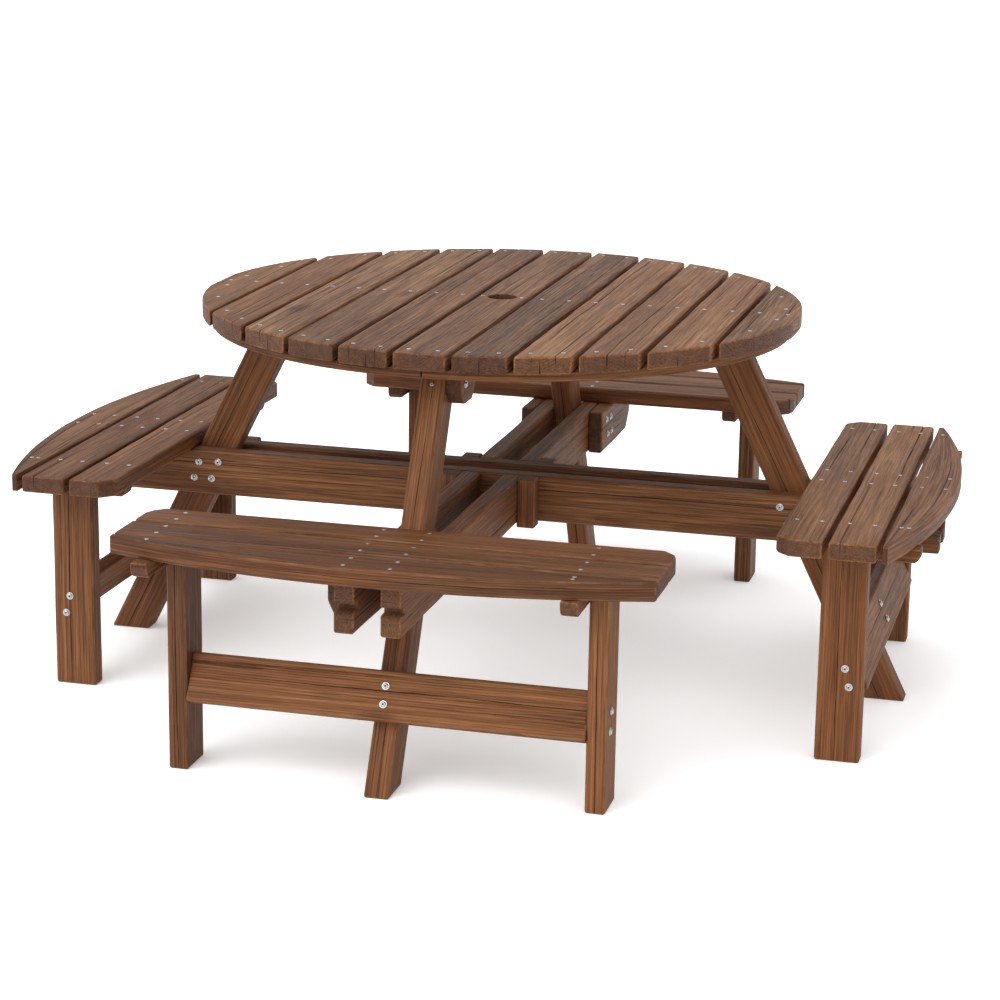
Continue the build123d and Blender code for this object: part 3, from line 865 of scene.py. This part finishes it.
def trimmed(name, cut, inner_cut, depth=HEART_CRACK_DEPTH, arris=ARRIS):
    """A builder of upright boards that lie across the table, with their lower corners cut off.

    cut is the length of the cut at the outer end, and inner_cut at the end near the middle.
    """
    def build(low, high):
        middle = (low + high) / 2
        outward = towards(middle)
        length, thickness = extents(low, high, outward)
        height = high.z - low.z

        def trim(across, size):
            return max(0.0, size - (across + height / 2))

        return board(name, basis(middle, outward, Z), height, thickness,
                     lambda b: trim(b, inner_cut) - length / 2,
                     lambda b: length / 2 - trim(b, cut),
                     heart_cracks(["top", "bottom"], depth), arris=arris, bow=0)

    return build


def corner_block(low, high):
    """One of the upright blocks where the rails meet."""
    middle = (low + high) / 2
    length = high.z - low.z
    return board("corner", basis(middle, Z, X), high.x - low.x, high.y - low.y,
                 constant(-length / 2), constant(length / 2), arris=THIN_ARRIS, bow=0)


grouped("leg_top_blocks", trimmed("block", BLOCK_CUT, BLOCK_CUT, FINE_CRACK_DEPTH, THIN_ARRIS))
grouped("seat_bearers", trimmed("bearer", BEARER_CUT, 0.0))
grouped("seat_cleats", trimmed("cleat", CLEAT_CUT, CLEAT_CUT, FINE_CRACK_DEPTH, THIN_ARRIS))
grouped("corner_blocks", corner_block)


def notched(length, side):
    """Where a rail ends: it steps back at mid height to clear the leg screws."""
    return lambda across: side * (length / 2 - (NOTCH_DEPTH if abs(across) < NOTCH_HEIGHT / 2 else 0))


notch_lines = [sign * (NOTCH_HEIGHT / 2 + edge)
               for sign in (-1, 1) for edge in (-NOTCH_SLOPE, NOTCH_SLOPE)]
for node in sorted(n for n in frame["nodes"] if n.startswith("rail_") and n != "rail_bolts"):
    low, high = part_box(node)
    middle = (low + high) / 2
    through = "through" in node
    outward = X if through else towards(middle)
    length, thickness = extents(low, high, outward)
    mesh = board(node, basis(middle, outward, Z), high.z - low.z, thickness,
                 notched(length, -1) if through else constant(-length / 2), notched(length, 1),
                 heart_cracks(["top", "bottom"], apart=RAIL_CRACKS_APART), lines=notch_lines)
    show(mesh, node, FRAME_WOOD)


# ---- benches -------------------------------------------------------------------------
for side, outward in OUTWARD.items():
    across_seat = outward.cross(Z)
    for name in ("inner", "middle", "outer"):
        node = f"seat_{side}_{name}"
        low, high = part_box(node)
        middle = (low + high) / 2
        size = high - low
        length, width = abs(size.dot(across_seat)), abs(size.dot(outward))
        half_length, half_width = length / 2, width / 2
        warp = None
        start, stop = constant(-half_length), constant(half_length)
        if name == "inner":
            def trim(across, edge=half_width):
                return max(0.0, SEAT_CUT - (across + edge))
            start = lambda b: trim(b) - half_length
            stop = lambda b: half_length - trim(b)
        if name == "outer":
            cloud = coordinates(node)
            tips = cloud[np.abs(cloud @ np.array(across_seat)) > half_length - NEAR]
            tip = (tips @ np.array(outward)).max() - (middle.dot(outward) - half_width)
            fall = width - tip
            arc = (half_length**2 + fall**2) / (2 * fall)

            def warp(spot, arc=arc, width=width, half_width=half_width):
                depth = width - arc + sqrt(max(0.0, arc**2 - spot.x**2))
                return Vector((spot.x, (spot.y + half_width) * depth / width - half_width, spot.z))

        cracks = random_cracks(("top", "bottom", "top"), half_width)
        if name == "outer":
            cracks += heart_cracks(["right"], (0.0012, 0.002), (0.001, 0.0014))
        mesh = board(node, basis(middle, across_seat, outward), width, high.z - low.z,
                     start, stop, cracks, warp=warp)
        show(mesh, node, SEAT_WOOD[side])

    ends = ("left", "right") if side in ("front", "back") else ("near", "rear")
    for end in ends:
        node = f"bench_leg_{side}_{end}"
        low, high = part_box(node)
        middle = (low + high) / 2
        size = high - low
        mesh = board(node, basis(middle, Z, outward),
                     abs(size.dot(outward)), abs(size.dot(across_seat)),
                     constant(-size.z / 2), constant(size.z / 2),
                     heart_cracks(["top", "bottom", "right", "left"]))
        show(mesh, node, FRAME_WOOD)

    node = "stretcher_" + side
    low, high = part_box(node)
    size = high - low
    lean = (Z - outward * leg_slope).normalized()
    out = (outward + Z * leg_slope).normalized()
    depth = abs(size.dot(outward))
    # the section is a leaning rectangle: its two sides follow from the box it fills
    lean_up, lean_out = lean.z, abs(lean.dot(outward))
    spread = lean_up**2 - lean_out**2
    width = (size.z * lean_up - depth * lean_out) / spread
    thickness = (depth * lean_up - size.z * lean_out) / spread
    length = abs(size.dot(across_seat))
    mesh = board(node, basis((low + high) / 2, lean.cross(out), lean), width, thickness,
                 constant(-length / 2), constant(length / 2), heart_cracks(["top", "bottom"]))
    show(mesh, node, FRAME_WOOD)


# ---- screws and bolts ----------------------------------------------------------------
for node in ("slat_screws", "seat_screws", "rail_bolts", "leg_top_bolts", "bench_bolts"):
    heads = []
    for top, axis, radius in fastener_places(node):
        place = head_place(top, axis)
        if radius > SMALLEST_WASHER:
            heads.append(bolt_head(place))
        elif node in ("bench_bolts", "leg_top_bolts"):
            heads.append(pan_head(place))
        else:
            heads.append(countersunk(place))
    show(join(heads, node), node, ZINC)

# ---- floor, light and camera ---------------------------------------------------------
FLOOR_REACH = 80.0
FLOOR_SIDES = 64
PAPER_SHADES = [(0.0, (0.92, 0.92, 0.92)), (1.0, (0.94, 0.94, 0.94))]
PAPER_GLOW = 0.2
SKY_STRENGTH = 0.98
WHITE = (1, 1, 1, 1)

floor_mesh = bpy.data.meshes.new("studio_floor")
turns = [2 * pi * k / FLOOR_SIDES for k in range(FLOOR_SIDES)]
rim = [(FLOOR_REACH * cos(turn), FLOOR_REACH * sin(turn), 0) for turn in turns]
floor_mesh.from_pydata(rim, [], [tuple(range(FLOOR_SIDES))])
floor = bpy.data.objects.new("studio_floor", floor_mesh)
bpy.context.scene.collection.objects.link(floor)
paper = bpy.data.materials.new("studio_paper")
paper.use_nodes = True
tree = paper.node_tree
mottle = add_node(tree, "ShaderNodeTexNoise", {
    "Vector": add_node(tree, "ShaderNodeTexCoord").outputs["Object"], "Scale": 3.0}).outputs[0]
surface = tree.nodes["Principled BSDF"].inputs
tree.links.new(ramp(tree, mottle, PAPER_SHADES), surface["Base Color"])
surface["Roughness"].default_value = 0.95
surface["Specular IOR Level"].default_value = 0.0
surface["Emission Color"].default_value = WHITE
surface["Emission Strength"].default_value = PAPER_GLOW
floor_mesh.materials.append(paper)

world = bpy.data.worlds.new("studio")
world.use_nodes = True
sky = world.node_tree.nodes["Background"].inputs
sky["Color"].default_value = WHITE
sky["Strength"].default_value = SKY_STRENGTH
bpy.context.scene.world = world


def soft_light(name, strength, spread, azimuth, elevation):
    """A very large distant lamp: its rays come down from that side and height."""
    lamp = bpy.data.lights.new(name, "SUN")
    lamp.energy = strength
    lamp.angle = radians(spread)
    holder = bpy.data.objects.new(name, lamp)
    turn, climb = radians(azimuth), radians(elevation)
    source = Vector((sin(turn) * cos(climb), -cos(turn) * cos(climb), sin(climb)))
    holder.rotation_euler = source.to_track_quat("Z", "Y").to_euler()
    bpy.context.scene.collection.objects.link(holder)


soft_light("overhead", 1.5, 70, -30, 74)
soft_light("front_fill", 1.3, 50, -28, 34)

CAMERA_PLACE = Vector((1.2588, -4.8692, 1.6334))
CAMERA_AZIMUTH, CAMERA_ELEVATION, CAMERA_ROLL = radians(14.475), radians(14.612), radians(0.936)
CAMERA_LENS = 96.93
lens = bpy.data.cameras.new("camera")
lens.lens = CAMERA_LENS
lens.sensor_width = 36
lens.clip_end = 200
camera = bpy.data.objects.new("camera", lens)
ahead = Vector((-sin(CAMERA_AZIMUTH) * cos(CAMERA_ELEVATION),
                cos(CAMERA_AZIMUTH) * cos(CAMERA_ELEVATION), -sin(CAMERA_ELEVATION)))
level = Vector((cos(CAMERA_AZIMUTH), sin(CAMERA_AZIMUTH), 0))
upright = level.cross(ahead)
side_axis = level * cos(CAMERA_ROLL) + upright * sin(CAMERA_ROLL)
up_axis = upright * cos(CAMERA_ROLL) - level * sin(CAMERA_ROLL)
camera.matrix_world = Matrix.Translation(CAMERA_PLACE) @ Matrix(
    (side_axis, up_axis, -ahead)).transposed().to_4x4()
bpy.context.scene.collection.objects.link(camera)
bpy.context.scene.camera = camera
bpy.context.scene.view_settings.view_transform = "Standard"
